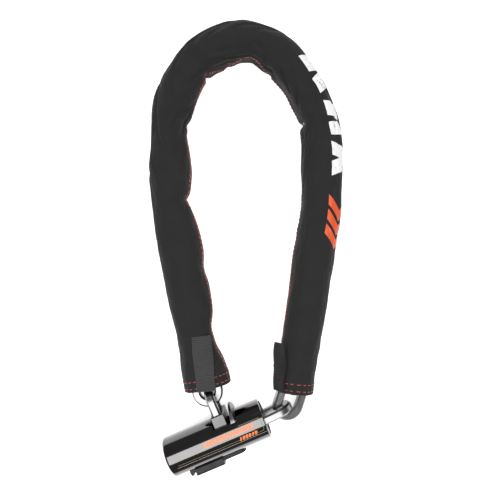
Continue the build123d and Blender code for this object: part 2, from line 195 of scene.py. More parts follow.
@dataclass(frozen=True)
class Metal:
    """A metal finish with fine marks and faint colour change."""

    name: str
    colour: Colour
    roughness: float
    metallic: float = 1.0
    mark_scale: float = 900.0
    mark_depth: float = 0.00002
    variation: float = 0.12
    coat: float = 0.0
    anisotropy: float = 0.0
    patch_scale: float = 60.0
    mark_detail: float = 5.0
    mark_strength: float = 0.5
    coat_roughness: float = 0.03

    def build(self) -> bpy.types.Material:
        """Builds the material.

        Returns:
            The material.
        """
        nodes = Nodes(self.name)
        shader = nodes.shader
        where = nodes.add("TexCoord").outputs["Object"]
        patches = nodes.noise(where, self.patch_scale)
        darker = tuple(c * (1 - self.variation) for c in self.colour)
        lighter = tuple(min(1.0, c * (1 + self.variation)) for c in self.colour)
        nodes.link(nodes.ramp(patches, darker, lighter), shader.inputs["Base Color"])
        marks = nodes.noise(where, self.mark_scale, self.mark_detail)
        spread = nodes.maths("MULTIPLY", nodes.maths("SUBTRACT", marks, 0.5), 0.5 * self.roughness)
        nodes.link(nodes.maths("ADD", spread, self.roughness), shader.inputs["Roughness"])
        nodes.bump(marks, self.mark_strength, self.mark_depth)
        shader.inputs["Metallic"].default_value = self.metallic
        shader.inputs["Coat Weight"].default_value = self.coat
        shader.inputs["Coat Roughness"].default_value = self.coat_roughness
        shader.inputs["Anisotropic"].default_value = self.anisotropy
        return nodes.material


@dataclass(frozen=True)
class Plastic:
    """A moulded plastic with a fine grain."""

    name: str
    colour: Colour
    roughness: float
    grain_scale: float = 2500.0
    grain_depth: float = 0.00004
    grain_strength: float = 0.6
    specular: float = 0.5
    patch_scale: float = 80.0
    roughness_spread: float = 0.15
    roughness_drop: float = 0.07

    def build(self) -> bpy.types.Material:
        """Builds the material.

        Returns:
            The material.
        """
        nodes = Nodes(self.name)
        shader = nodes.shader
        where = nodes.add("TexCoord").outputs["Object"]
        grain = nodes.noise(where, self.grain_scale)
        lighter = tuple(min(1.0, c * 1.5 + 0.01) for c in self.colour)
        patches = nodes.noise(where, self.patch_scale)
        nodes.link(nodes.ramp(patches, self.colour, lighter), shader.inputs["Base Color"])
        spread = nodes.maths("MULTIPLY", grain, self.roughness_spread)
        nodes.link(nodes.maths("ADD", spread, self.roughness - self.roughness_drop),
                   shader.inputs["Roughness"])
        nodes.bump(grain, self.grain_strength, self.grain_depth)
        shader.inputs["Specular IOR Level"].default_value = self.specular
        return nodes.material


@dataclass(frozen=True)
class Weave:
    """Woven cloth: crossing threads read from the cloth's own UV map, in metres.

    A rib above zero is the pitch of webbing's heavier cross ribs.
    """

    name: str
    colour: Colour
    thread: float = 0.0011
    depth: float = 0.00022
    roughness: float = 0.85
    sheen: float = 0.25
    rib: float = 0.0
    fuzz_scale: float = 2200.0
    fuzz_depth: float = 0.0004
    patch_scale: float = 45.0
    specular: float = 0.25

    def build(self) -> bpy.types.Material:
        """Builds the material.

        Returns:
            The material.
        """
        nodes = Nodes(self.name)
        shader = nodes.shader
        uv = nodes.add("UVMap", uv_map="cloth").outputs["UV"]
        split = nodes.add("SeparateXYZ")
        nodes.link(uv, split.inputs[0])
        step = 2 * math.pi / self.thread
        across = nodes.maths("SINE", nodes.maths("MULTIPLY", split.outputs["X"], step))
        along_step = 2 * math.pi / (self.rib or self.thread)
        along = nodes.maths("SINE", nodes.maths("MULTIPLY", split.outputs["Y"], along_step))
        if self.rib:
            threads = nodes.maths("ADD", nodes.maths("MULTIPLY", across, 0.25), along)
        else:
            threads = nodes.maths("MULTIPLY", across, along)
        height = nodes.maths("MULTIPLY_ADD", threads, 0.5)
        height.node.inputs[2].default_value = 0.5
        where = nodes.add("TexCoord").outputs["Object"]
        fuzz = nodes.noise(where, self.fuzz_scale, 4.0)
        patches = nodes.noise(where, self.patch_scale, 4.0)
        mixed = nodes.maths("MULTIPLY_ADD", height, 0.55)
        nodes.link(fuzz, mixed.node.inputs[2])
        tone = nodes.maths("MULTIPLY", nodes.maths("ADD", mixed, nodes.maths("MULTIPLY", patches, 0.5)), 0.6)
        dark = tuple(c * 0.45 for c in self.colour)
        light = tuple(min(1.0, c * 1.55) for c in self.colour)
        nodes.link(nodes.ramp(tone, dark, light, 0.25, 0.85), shader.inputs["Base Color"])
        below = nodes.bump(fuzz, 0.25, self.fuzz_depth)
        nodes.bump(height, 0.8, self.depth, below)
        shader.inputs["Roughness"].default_value = self.roughness
        shader.inputs["Sheen Weight"].default_value = self.sheen
        shader.inputs["Sheen Roughness"].default_value = 0.5
        shader.inputs["Specular IOR Level"].default_value = self.specular
        return nodes.material


@dataclass(frozen=True)
class Ink:
    """Print laid on the cloth or the barrel, a little worn."""

    name: str
    colour: Colour
    worn: Colour
    roughness: float = 0.45
    wear_scale: float = 350.0
    wear_detail: float = 6.0
    wear_start: float = 0.3
    wear_end: float = 0.42
    grain_scale: float = 1500.0
    grain_depth: float = 0.0001

    def build(self) -> bpy.types.Material:
        """Builds the material.

        Returns:
            The material.
        """
        nodes = Nodes(self.name)
        where = nodes.add("TexCoord").outputs["Object"]
        wear = nodes.noise(where, self.wear_scale, self.wear_detail)
        nodes.link(nodes.ramp(wear, self.worn, self.colour, self.wear_start, self.wear_end),
                   nodes.shader.inputs["Base Color"])
        nodes.bump(nodes.noise(where, self.grain_scale), 0.3, self.grain_depth)
        nodes.shader.inputs["Roughness"].default_value = self.roughness
        return nodes.material


@dataclass(frozen=True)
class Thread:
    """Twisted sewing thread."""

    name: str
    colour: Colour
    strand_scale: float = 3000.0
    strand_depth: float = 0.0002
    roughness: float = 0.6
    sheen: float = 0.3

    def build(self) -> bpy.types.Material:
        """Builds the material.

        Returns:
            The material.
        """
        nodes = Nodes(self.name)
        where = nodes.add("TexCoord").outputs["Object"]
        strands = nodes.noise(where, self.strand_scale, 2.0)
        dark = tuple(c * 0.5 for c in self.colour)
        nodes.link(nodes.ramp(strands, dark, self.colour), nodes.shader.inputs["Base Color"])
        nodes.bump(strands, 0.5, self.strand_depth)
        nodes.shader.inputs["Roughness"].default_value = self.roughness
        nodes.shader.inputs["Sheen Weight"].default_value = self.sheen
        return nodes.material


CLOTH = Weave("sleeve_cloth", (0.0125, 0.0125, 0.013), sheen=0.05)
LINING = Weave("sleeve_lining", (0.009, 0.009, 0.0095), sheen=0.03)
WEBBING = Weave("strap_webbing", (0.034, 0.034, 0.035), thread=0.0009, depth=0.0004, sheen=0.15, rib=0.0021)
BLACK_WEBBING = Weave("black_webbing", (0.012, 0.012, 0.0125), thread=0.0009, depth=0.0004, sheen=0.04,
                      rib=0.0021)
SEAM_THREAD = Thread("red_thread", (0.60, 0.045, 0.035))
WHITE_INK = Ink("white_print", (0.72, 0.72, 0.72), (0.50, 0.50, 0.50))
ORANGE_INK = Ink("orange_print", (0.60, 0.075, 0.016), (0.48, 0.06, 0.018))
LABEL_INK = Ink("label_orange", (0.80, 0.20, 0.06), (0.70, 0.16, 0.05), roughness=0.35)
PALE_INK = Ink("label_line", (0.40, 0.33, 0.31), (0.30, 0.22, 0.20), roughness=0.3)
GOLD_INK = Ink("label_gold", (0.17, 0.17, 0.085), (0.12, 0.11, 0.06), roughness=0.35)


class FramePaint:
    """Dresses every CAD node that shows as it is."""

    FINISHES = {
        Finish.BARREL: Metal("black_chrome", (0.078, 0.074, 0.073), roughness=0.10, mark_scale=300.0,
                             mark_depth=0.000002, variation=0.06, coat=0.9),
        Finish.POLISHED: Metal("polished_steel", (0.16, 0.16, 0.165), roughness=0.30, mark_scale=500.0,
                               mark_depth=0.000006, variation=0.06),
        Finish.CHAIN: Metal("zinc_plate", (0.24, 0.24, 0.245), roughness=0.30, mark_scale=500.0,
                            mark_depth=0.000008, variation=0.12),
        Finish.SATIN: Metal("satin_steel", (0.10, 0.10, 0.102), roughness=0.34, mark_scale=1500.0,
                            mark_depth=0.00002, variation=0.06, anisotropy=0.2),
        Finish.DARK: Metal("black_oxide", (0.03, 0.03, 0.032), roughness=0.42, metallic=0.7,
                           mark_scale=900.0, mark_depth=0.00003),
        Finish.BRASS: Metal("machined_brass", (0.70, 0.52, 0.24), roughness=0.28, mark_scale=900.0,
                            mark_depth=0.00002),
        Finish.COVER: Plastic("cover_plastic", (0.012, 0.012, 0.013), roughness=0.40, specular=0.2),
        Finish.CASTING: Metal("zinc_casting", (0.42, 0.42, 0.43), roughness=0.55, mark_scale=500.0,
                              mark_depth=0.0001),
    }

    def dress(self) -> None:
        """Gives each CAD node its finish."""
        built = {finish.value: recipe.build() for finish, recipe in self.FINISHES.items()}
        slots = {part["node"]: part["material_slot"] for part in frame["record"]["subparts"]}
        for node, piece in frame["nodes"].items():
            slot = slots.get(node)
            if slot in built:
                for i in range(max(1, len(piece.material_slots))):
                    if not piece.material_slots:
                        piece.data.materials.append(built[slot])
                    else:
                        piece.material_slots[i].material = built[slot]
                log.info("%s dressed as %s", node, slot)


class PieceMesh:
    """A mesh being built from vertices and faces with cloth coordinates."""

    def __init__(self, name: str) -> None:
        """Starts an empty piece.

        Args:
            name: the finished object's name.
        """
        self.name = name
        self.places: list[Vector] = []
        self.faces: list[list[int]] = []
        self.uvs: list[list[tuple[float, float]] | None] = []
        self.slots: list[int] = []

    def vertex(self, place: Vector) -> int:
        """Adds a vertex and gives its number."""
        self.places.append(place)
        return len(self.places) - 1

    def face(self, corners: list[int], uv: list[tuple[float, float]] | None, slot: int) -> None:
        """Adds a face.

        Args:
            corners: vertex numbers.
            uv: cloth coordinates in metres, one for each corner, or None.
            slot: material slot.
        """
        self.faces.append(corners)
        self.uvs.append(uv)
        self.slots.append(slot)

    def finish(self, materials: list[bpy.types.Material]) -> bpy.types.Object:
        """Makes the object.

        Args:
            materials: one for each slot.

        Returns:
            The object, in the scene.
        """
        mesh = bpy.data.meshes.new(self.name)
        mesh.from_pydata([tuple(p) for p in self.places], [], self.faces)
        layer = mesh.uv_layers.new(name="cloth")
        for polygon, uv, slot in zip(mesh.polygons, self.uvs, self.slots):
            polygon.material_index = slot
            polygon.use_smooth = True
            if uv:
                for loop, pair in zip(polygon.loop_indices, uv):
                    layer.data[loop].uv = pair
        for material in materials:
            mesh.materials.append(material)
        mesh.validate()
        mesh.update()
        piece = bpy.data.objects.new(self.name, mesh)
        bpy.context.scene.collection.objects.link(piece)
        return piece


@dataclass
class Sleeve:
    """The woven sleeve: one wrinkled tube, parted in the middle of each rigid stretch.

    Stations are x, y and half the width across, from the left hem over the bend to the right hem.
    Notches are x, y, length along the sleeve and depth. Seam rolls are a share of the sleeve's length
    and degrees.
    """

    stations: list[Place] = field(default_factory=lambda: [
        (-0.0465, -0.1665, 0.0275), (-0.0515, -0.1450, 0.0260), (-0.0570, -0.1240, 0.0220),
        (-0.0630, -0.0995, 0.0210), (-0.0655, -0.0755, 0.0245), (-0.0700, -0.0515, 0.0250),
        (-0.0755, -0.0275, 0.0240), (-0.0785, -0.0035, 0.0258), (-0.0835, 0.0205, 0.0250),
        (-0.0890, 0.0445, 0.0222), (-0.0912, 0.0560, 0.0215), (-0.0908, 0.0685, 0.0236),
        (-0.0908, 0.0925, 0.0246), (-0.0918, 0.1165, 0.0228), (-0.0925, 0.1405, 0.0212),
        (-0.0880, 0.1645, 0.0226), (-0.0800, 0.1900, 0.0236), (-0.0665, 0.2140, 0.0236),
        (-0.0515, 0.2300, 0.0238), (-0.0315, 0.2405, 0.0246), (-0.0075, 0.2465, 0.0228),
        (0.0120, 0.2455, 0.0215), (0.0320, 0.2355, 0.0232), (0.0525, 0.2170, 0.0238),
        (0.0680, 0.1960, 0.0232), (0.0800, 0.1710, 0.0228), (0.0885, 0.1440, 0.0225),
        (0.0910, 0.1165, 0.0240), (0.0915, 0.0900, 0.0236), (0.0910, 0.0650, 0.0226),
        (0.0895, 0.0400, 0.0228), (0.0855, 0.0160, 0.0234), (0.0815, -0.0100, 0.0238),
        (0.0775, -0.0360, 0.0232), (0.0740, -0.0610, 0.0230), (0.0700, -0.0860, 0.0228),
        (0.0665, -0.1100, 0.0224), (0.0630, -0.1330, 0.0220), (0.0600, -0.1520, 0.0220),
        (0.0580, -0.1720, 0.0222)])
    half_height: float = 0.0212
    squareness: float = 0.80
    girth: float = 0.139
    floor_gap: float = 0.0004
    ease: float = 0.0010
    soft_fold: float = 0.0019
    fine_fold: float = 0.0006
    crease_depth: float = 0.0026
    deepest: float = 0.0012
    lining_depth: float = 0.045
    ring_step: float = 0.0026
    around: int = 88
    inner_notches: tuple[tuple[float, float, float, float], ...] = (
        (-0.0556, 0.2107, 0.0035, 0.0060), (-0.0748, 0.1470, 0.0060, 0.0030),
        (0.0707, 0.1482, 0.0038, 0.0060), (-0.0250, 0.2260, 0.0050, 0.0025),
        (0.0350, 0.2150, 0.0045, 0.0030), (-0.0800, 0.0560, 0.0080, 0.0030))
    stitch_length: float = 0.0034
    stitch_gap: float = 0.0022
    thread_radius: float = 0.00042
    seam_angles: tuple[float, float] = (math.radians(3), math.radians(8))
    seam_rolls: tuple[tuple[float, float], ...] = (
        (0.0, 10), (0.30, 9), (0.35, -25), (0.40, 12), (0.43, 10), (0.46, -20), (0.50, 9), (0.53, 8),
        (0.57, -30), (0.72, -30), (0.80, -8), (0.87, 5), (1.0, 9))
    seam_margin: float = 0.014
    hem_rows: tuple[float, float] = (0.0035, 0.0115)
    hem_stitches: int = 24
    hem_share: float = 0.62
    hem_thickening: float = 1.15
    print_lift: float = 0.0004
    print_radius: float = 0.022
    fold_reach: float = 0.026

    def __post_init__(self) -> None:
        """Works out the smooth middle line and its even steps."""
        dense = self.smooth_stations()
        lengths = [0.0]
        for first, second in zip(dense, dense[1:]):
            lengths.append(lengths[-1] + math.dist(first[:2], second[:2]))
        self.length = lengths[-1]
        count = round(self.length / self.ring_step)
        self.line = []
        at = 0
        for i in range(count + 1):
            target = self.length * i / count
            while at < len(lengths) - 2 and lengths[at + 1] < target:
                at += 1
            share = (target - lengths[at]) / max(1e-9, lengths[at + 1] - lengths[at])
            self.line.append(tuple(a + (b - a) * share for a, b in zip(dense[at], dense[at + 1])))
        self.notches = [(self.nearest(x, y), width, depth) for x, y, width, depth in self.inner_notches]

    def nearest(self, x: float, y: float) -> float:
        """How far along the sleeve its middle line passes closest to a place.

        Args:
            x: of the place.
            y: of the place.

        Returns:
            Metres from the left hem.
        """
        gaps = [math.dist((x, y), spot[:2]) for spot in self.line]
        return self.length * gaps.index(min(gaps)) / (len(self.line) - 1)

    def smooth_stations(self) -> list[Place]:
        """A smooth curve through the stations, many points to a span.

        Returns:
            The curve's points, each with its half width.
        """
        points = [Vector(s) for s in self.stations]
        points = [2 * points[0] - points[1]] + points + [2 * points[-1] - points[-2]]
        dense = []
        steps = 12
        for a, b, c, d in zip(points, points[1:], points[2:], points[3:]):
            for i in range(steps):
                t = i / steps
                dense.append(tuple(0.5 * (2 * b + (c - a) * t + (2 * a - 5 * b + 4 * c - d) * t * t
                                          + (3 * b - a - 3 * c + d) * t ** 3)))
        return dense + [tuple(points[-2])]

    def at(self, distance: float) -> tuple[Vector, Vector, float]:
        """The middle line at a distance from the left hem.

        Args:
            distance: metres along the sleeve.

        Returns:
            The place, the unit direction and half the width there.
        """
        share = min(max(distance / self.length, 0.0), 1.0) * (len(self.line) - 1)
        i = min(int(share), len(self.line) - 2)
        first, second = Vector(self.line[i]), Vector(self.line[i + 1])
        here = first.lerp(second, share - i)
        low, high = Vector(self.line[max(0, i - 3)]), Vector(self.line[min(len(self.line) - 1, i + 4)])
        direction = Vector((high.x - low.x, high.y - low.y, 0)).normalized()
        return Vector((here.x, here.y, self.half_height)), direction, here.z

    def wrinkle(self, distance: float, angle: float) -> float:
        """How far the cloth stands off its plain tube.

        Args:
            distance: metres along the sleeve.
            angle: round the sleeve, 0 on the inner side, a quarter turn on top.

        Returns:
            Metres outwards.
        """
        bend = self.bend_share(distance)
        cosine, sine = math.cos(angle), math.sin(angle)
        where = Vector((distance * 24, 1.4 * cosine, 1.4 * sine))
        soft = noise.noise(where)
        fine = noise.noise(where * 2.9)
        crease = 1 - abs(noise.noise(Vector((distance * 30 + 2.5 * sine, 1.1 * cosine + 5, 1.1 * sine))))
        notch = sum(math.exp(-((distance - place) / width) ** 2) * depth
                    for place, width, depth in self.notches)
        pinch = notch * max(0.0, cosine) ** 3
        standing = self.ease + self.soft_fold * soft * (0.5 + bend) + self.fine_fold * fine
        return max(standing - self.crease_depth * (0.22 + bend) * crease ** 9, -self.deepest) - pinch

    def bend_share(self, distance: float) -> float:
        """One in the curved middle of the sleeve, none in its straight legs."""
        middle = abs(distance / self.length - 0.5) * 2
        return 1 - min(1.0, max(0.0, (middle - 0.30) / 0.22))

    def surface(self, distance: float, angle: float, lift: float = 0.0) -> Vector:
        """A place on the cloth.

        Args:
            distance: metres along the sleeve.
            angle: round the sleeve, 0 on the inner side, a quarter turn on top.
            lift: metres above the cloth.

        Returns:
            The place in the row frame.
        """
        middle, direction, half_width = self.at(distance)
        inner = Vector((direction.y, -direction.x, 0))
        off = self.wrinkle(distance, angle) + lift
        cosine, sine = math.cos(angle), math.sin(angle)
        side = math.copysign(abs(cosine) ** self.squareness, cosine) * (half_width + off)
        off_height = off if sine > 0 else 0.3 * off
        rise = math.copysign(abs(sine) ** self.squareness, sine) * (self.half_height + off_height)
        place = middle + inner * side
        place.z = max(self.floor_gap + max(0.0, lift), self.half_height + rise)
        return place

    def distance_at(self, height: float, leg: Leg) -> float:
        """How far along the sleeve one leg crosses a line of constant y.

        Args:
            height: the line's y.
            leg: which leg.

        Returns:
            Metres from the left hem.
        """
        low, high = (0.0, self.length / 2) if leg is Leg.LEFT else (self.length, self.length / 2)
        for _ in range(40):
            middle = (low + high) / 2
            if self.at(middle)[0].y < height:
                low = middle
            else:
                high = middle
        return (low + high) / 2

    def tube(self, grid: PieceMesh, start: float, end: float) -> None:
        """Adds the cloth between two distances, with its lining near a hem.

        Args:
            grid: the piece under construction.
            start: metres from the left hem.
            end: metres from the left hem.
        """
        steps = max(2, round((end - start) / self.ring_step))
        distances = [start + (end - start) * i / steps for i in range(steps + 1)]
        angles = [2 * math.pi * k / self.around for k in range(self.around)]
        rows = [[grid.vertex(self.surface(distance, angle)) for angle in angles] for distance in distances]
        for i in range(steps):
            for k in range(self.around):
                nxt = (k + 1) % self.around
                low, high = self.girth * k / self.around, self.girth * (k + 1) / self.around
                uv = [(low, distances[i]), (high, distances[i]), (high, distances[i + 1]),
                      (low, distances[i + 1])]
                grid.face([rows[i][k], rows[i][nxt], rows[i + 1][nxt], rows[i + 1][k]], uv, 0)
        for edge, row, sign in ((start, rows[0], 1), (end, rows[-1], -1)):
            if edge < 1e-6 or edge > self.length - 1e-6:
                self.lining(grid, edge, row, sign)

    def lining(self, grid: PieceMesh, edge: float, rim: list[int], sign: int) -> None:
        """Adds the turned-in edge and the inside of one end.

        Args:
            grid: the piece under construction.
            edge: the hem's distance from the left hem.
            rim: the outer edge's vertices.
            sign: 1 at the left hem, -1 at the right.
        """
        previous = rim
        pitch, band = 0.0016, 0.002
        depths = [-0.0006, -0.0004, 0.002, 0.006, 0.012, 0.02, 0.03, self.lining_depth]
        lifts = [-0.0004, -0.0014, -0.0019, -0.0019, -0.0019, -0.0019, -0.0019, -0.0019]
        for depth, lift in zip(depths, lifts):
            ring = []
            for k in range(self.around):
                angle = 2 * math.pi * k / self.around
                place = self.surface(edge + sign * max(depth, 0.0), angle, lift)
                if depth < 0:
                    place += self.at(edge)[1] * sign * depth
                place.z = max(place.z, self.floor_gap - lift)
                ring.append(grid.vertex(place))
            for k in range(self.around):
                nxt = (k + 1) % self.around
                corners = [previous[nxt], previous[k], ring[k], ring[nxt]] if sign > 0 else [
                    previous[k], previous[nxt], ring[nxt], ring[k]]
                uv = [(pitch * k, depth), (pitch * (k + 1), depth), (pitch * (k + 1), depth + band),
                      (pitch * k, depth + band)]
                grid.face(corners, uv, 1)
            previous = ring

    def stitch(self, grid: PieceMesh, start: Vector, end: Vector, up: Vector, radius: float) -> None:
        """Adds one stitch: a short thread that dips at both ends.

        Args:
            grid: the piece under construction.
            start: where the thread comes up.
            end: where it goes down.
            up: away from the cloth.
            radius: of the thread.
        """
        along = (end - start).normalized()
        side = along.cross(up).normalized()
        sides = 6
        rows = []
        for share, size, rise in ((0.0, 0.5, -0.6), (0.2, 0.95, 0.3), (0.5, 1.0, 0.55), (0.8, 0.95, 0.3),
                                  (1.0, 0.5, -0.6)):
            middle = start.lerp(end, share) + up * rise * radius
            row = []
            for k in range(sides):
                turn = 2 * math.pi * k / sides
                spoke = side * math.cos(turn) + up * math.sin(turn)
                row.append(grid.vertex(middle + spoke * radius * size))
            rows.append(row)
        for first, second in zip(rows, rows[1:]):
            for k in range(sides):
                nxt = (k + 1) % sides
                grid.face([first[k], first[nxt], second[nxt], second[k]], None, 2)
        grid.face(list(reversed(rows[0])), None, 2)
        grid.face(rows[-1], None, 2)

    def seam_turn(self, distance: float) -> float:
        """How far the inner seam has rolled up or down.

        Args:
            distance: metres from the left hem.

        Returns:
            Radians, upwards.
        """
        share = distance / self.length
        for (low, first), (high, last) in zip(self.seam_rolls, self.seam_rolls[1:]):
            if share <= high:
                break
        turn = first + (last - first) * (share - low) / (high - low)
        return math.radians(turn) + 0.06 * noise.noise(Vector((distance * 21, 3.0, 8.0)))

    def outward(self, distance: float, angle: float) -> Vector:
        """The direction away from the cloth at a place."""
        low, high = self.surface(distance, angle), self.surface(distance, angle, 0.001)
        return (high - low).normalized()

    def seams(self, grid: PieceMesh, start: float, end: float) -> None:
        """Adds the twin seam along the inner side and the rows round each hem.

        Args:
            grid: the piece under construction.
            start: metres from the left hem.
            end: metres from the left hem.
        """
        pitch = self.stitch_length + self.stitch_gap
        count = int((end - start) / pitch)
        for row, base in enumerate(self.seam_angles):
            for i in range(count):
                first = start + pitch * (i + 0.25 * row)
                if min(first, self.length - first) < self.seam_margin:
                    continue
                angle = base + self.seam_turn(first)
                a, b = self.surface(first, angle), self.surface(first + self.stitch_length, angle)
                self.stitch(grid, a, b, self.outward(first, angle), self.thread_radius)
        for edge, sign in ((0.0, 1), (self.length, -1)):
            if not start - 1e-6 <= edge <= end + 1e-6:
                continue
            reach = 2 * math.pi / self.hem_stitches * self.hem_share
            for offset in self.hem_rows:
                for k in range(self.hem_stitches):
                    angle = 2 * math.pi * k / self.hem_stitches
                    distance = edge + sign * offset
                    a, b = self.surface(distance, angle), self.surface(distance, angle + reach)
                    self.stitch(grid, a, b, self.outward(distance, angle + reach / 2),
                                self.thread_radius * self.hem_thickening)

    def patch(self, grid: PieceMesh, corners: list[tuple[float, float]], slot: int) -> None:
        """Adds one printed shape, a four-sided patch just above the cloth.

        Args:
            grid: the piece under construction.
            corners: distance and angle of its four corners, in order round it.
            slot: the material slot.
        """
        a, b, c, d = corners
        across, down = 12, 16
        rows = []
        for i in range(down + 1):
            v = i / down
            row = []
            for j in range(across + 1):
                u = j / across
                distance, angle = [(1 - v) * ((1 - u) * a[n] + u * b[n]) + v * ((1 - u) * d[n] + u * c[n])
                                   for n in (0, 1)]
                place = self.surface(distance, angle, self.print_lift)
                row.append((grid.vertex(place), (angle * self.print_radius, distance)))
            rows.append(row)
        for first, second in zip(rows, rows[1:]):
            for j in range(across):
                quad = [first[j], first[j + 1], second[j + 1], second[j]]
                grid.face([q[0] for q in quad], [q[1] for q in quad], slot)

    def prints(self, grid: PieceMesh, start: float, end: float) -> None:
        """Adds the white blocks and the orange slashes on the outer side of the right leg.

        Args:
            grid: the piece under construction.
            start: metres from the left hem.
            end: metres from the left hem.
        """
        near, far = math.radians(108), math.radians(158)
        blocks = ((0.216, 0.200, 0.006), (0.193, 0.176, -0.006), (0.168, 0.152, 0.006), (0.145, 0.131, 0.0),
                  (0.124, 0.108, 0.007), (0.101, 0.084, -0.007))
        for top, bottom, slant in blocks:
            first, last = self.distance_at(top, Leg.RIGHT), self.distance_at(bottom, Leg.RIGHT)
            if start <= first and last <= end:
                corners = [(first, near), (first + slant, far), (last + slant, far), (last, near)]
                self.patch(grid, corners, 3)
        slash_near, apex, slash_far = math.radians(100), math.radians(141), math.radians(166)
        height, drop = 0.0118, 0.017
        rise = drop * 0.45
        for top in (0.062, 0.0455, 0.029):
            first = self.distance_at(top, Leg.RIGHT)
            if start <= first and first + height + drop <= end:
                tip = first + drop
                self.patch(grid, [(first, slash_near), (tip, apex), (tip + height, apex),
                                  (first + height, slash_near)], 4)
                self.patch(grid, [(tip, apex), (tip - rise, slash_far), (tip + height - rise, slash_far),
                                  (tip + height, apex)], 4)

    def build(self) -> None:
        """Builds the six pieces of cloth, parted midway between the fold lines so that each holds one."""
        folds = {joint["name"]: joint["pos_m"][1] for joint in frame["joints"] if "pos_m" in joint}
        lines = [folds["lower_fold"], folds["middle_fold"], folds["upper_fold"]]
        nodes = [["sleeve_ends", "sleeve_fold_lower"], ["sleeve_middle", "sleeve_fold_middle"],
                 ["sleeve_upper", "sleeve_fold_upper", "sleeve_bend"]]
        materials = [recipe.build() for recipe in (CLOTH, LINING, SEAM_THREAD, WHITE_INK, ORANGE_INK)]
        borders = [-1.0, (lines[0] + lines[1]) / 2, (lines[1] + lines[2]) / 2, 1.0]
        for leg in Leg:
            for i in range(3):
                hem = 0.0 if leg is Leg.LEFT else self.length
                near = hem if i == 0 else self.distance_at(borders[i], leg)
                far = self.length / 2 if i == 2 else self.distance_at(borders[i + 1], leg)
                start, end = min(near, far), max(near, far)
                grid = PieceMesh(f"sleeve_cloth_{leg.name.lower()}_{i + 1}")
                self.tube(grid, start, end)
                self.seams(grid, start, end)
                if leg is Leg.RIGHT:
                    self.prints(grid, start, end)
                piece = grid.finish(materials)
                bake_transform(piece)
                if leg is Leg.LEFT:
                    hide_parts(*nodes[i])
                log.info("%s: %d faces", piece.name, len(piece.data.polygons))


@dataclass
class Strap:
    """A hook-and-loop tab: thick webbing with bound edges, a crease and a slight wave."""

    node: str
    body: str
    foot: Place
    lean: float
    roll: float
    length: float
    width: float = 0.023
    thickness: float = 0.0021
    crease: float = 0.5
    crease_width: float = 0.025
    crease_height: float = 0.0006
    wave: float = 0.0012
    cup: float = 0.0008
    edge_start: float = 0.86
    edge_thinning: float = 0.7
    binding_start: float = 0.88
    binding: float = 0.00025
    narrowing: float = 0.03
    weave: Weave = WEBBING

    def build(self) -> None:
        """Builds the tab in place of its plain solid."""
        grid = PieceMesh(self.node + "_webbing")
        across, along = 14, 46
        place = (Matrix.Translation(self.foot) @ Matrix.Rotation(self.lean, 4, "Z")
                 @ Matrix.Rotation(self.roll, 4, "Y"))
        sides = []
        for side in (1, -1):
            rows = []
            for i in range(along + 1):
                v = i / along
                row = []
                for j in range(across + 1):
                    u = j / across * 2 - 1
                    rim = max(abs(u), abs(2 * v - 1))
                    edge = max(0.0, (abs(u) - self.edge_start) / (1 - self.edge_start))
                    thick = self.thickness / 2 * (1 - self.edge_thinning * edge ** 2)
                    ridge = self.crease_height * math.exp(-((v - self.crease) / self.crease_width) ** 2)
                    lift = self.wave * math.sin(v * 5.2 + u * 0.9) * v + self.cup * u * u * math.sin(v * 9)
                    bound = self.binding if rim > self.binding_start else 0.0
                    half_width = self.width / 2 * (1 - self.narrowing * math.sin(v * 7))
                    local = Vector((u * half_width, v * self.length, lift + side * (thick + bound) + ridge))
                    row.append((grid.vertex(place @ local), (u * self.width / 2, v * self.length)))
                rows.append(row)
            sides.append(rows)
            for first, second in zip(rows, rows[1:]):
                for j in range(across):
                    quad = [first[j], first[j + 1], second[j + 1], second[j]]
                    if side < 0:
                        quad.reverse()
                    grid.face([q[0] for q in quad], [q[1] for q in quad], 0)
        self.close(grid, sides, across, along)
        piece = grid.finish([self.weave.build()])
        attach(piece, self.body)
        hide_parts(self.node)
        log.info("%s built", piece.name)

    def close(self, grid: PieceMesh, sides: list[list[list[Corner]]], across: int, along: int) -> None:
        """Joins the two faces round the edge.

        Args:
            grid: the piece under construction.
            sides: the rows of the upper and lower faces.
            across: steps across.
            along: steps along.
        """
        top, bottom = sides
        ring = [(0, j) for j in range(across)] + [(i, across) for i in range(along)]
        ring += [(along, j) for j in range(across, 0, -1)] + [(i, 0) for i in range(along, 0, -1)]
        for (i, j), (m, n) in zip(ring, ring[1:] + ring[:1]):
            quad = [top[m][n], top[i][j], bottom[i][j], bottom[m][n]]
            grid.face([q[0] for q in quad], [q[1] for q in quad], 0)


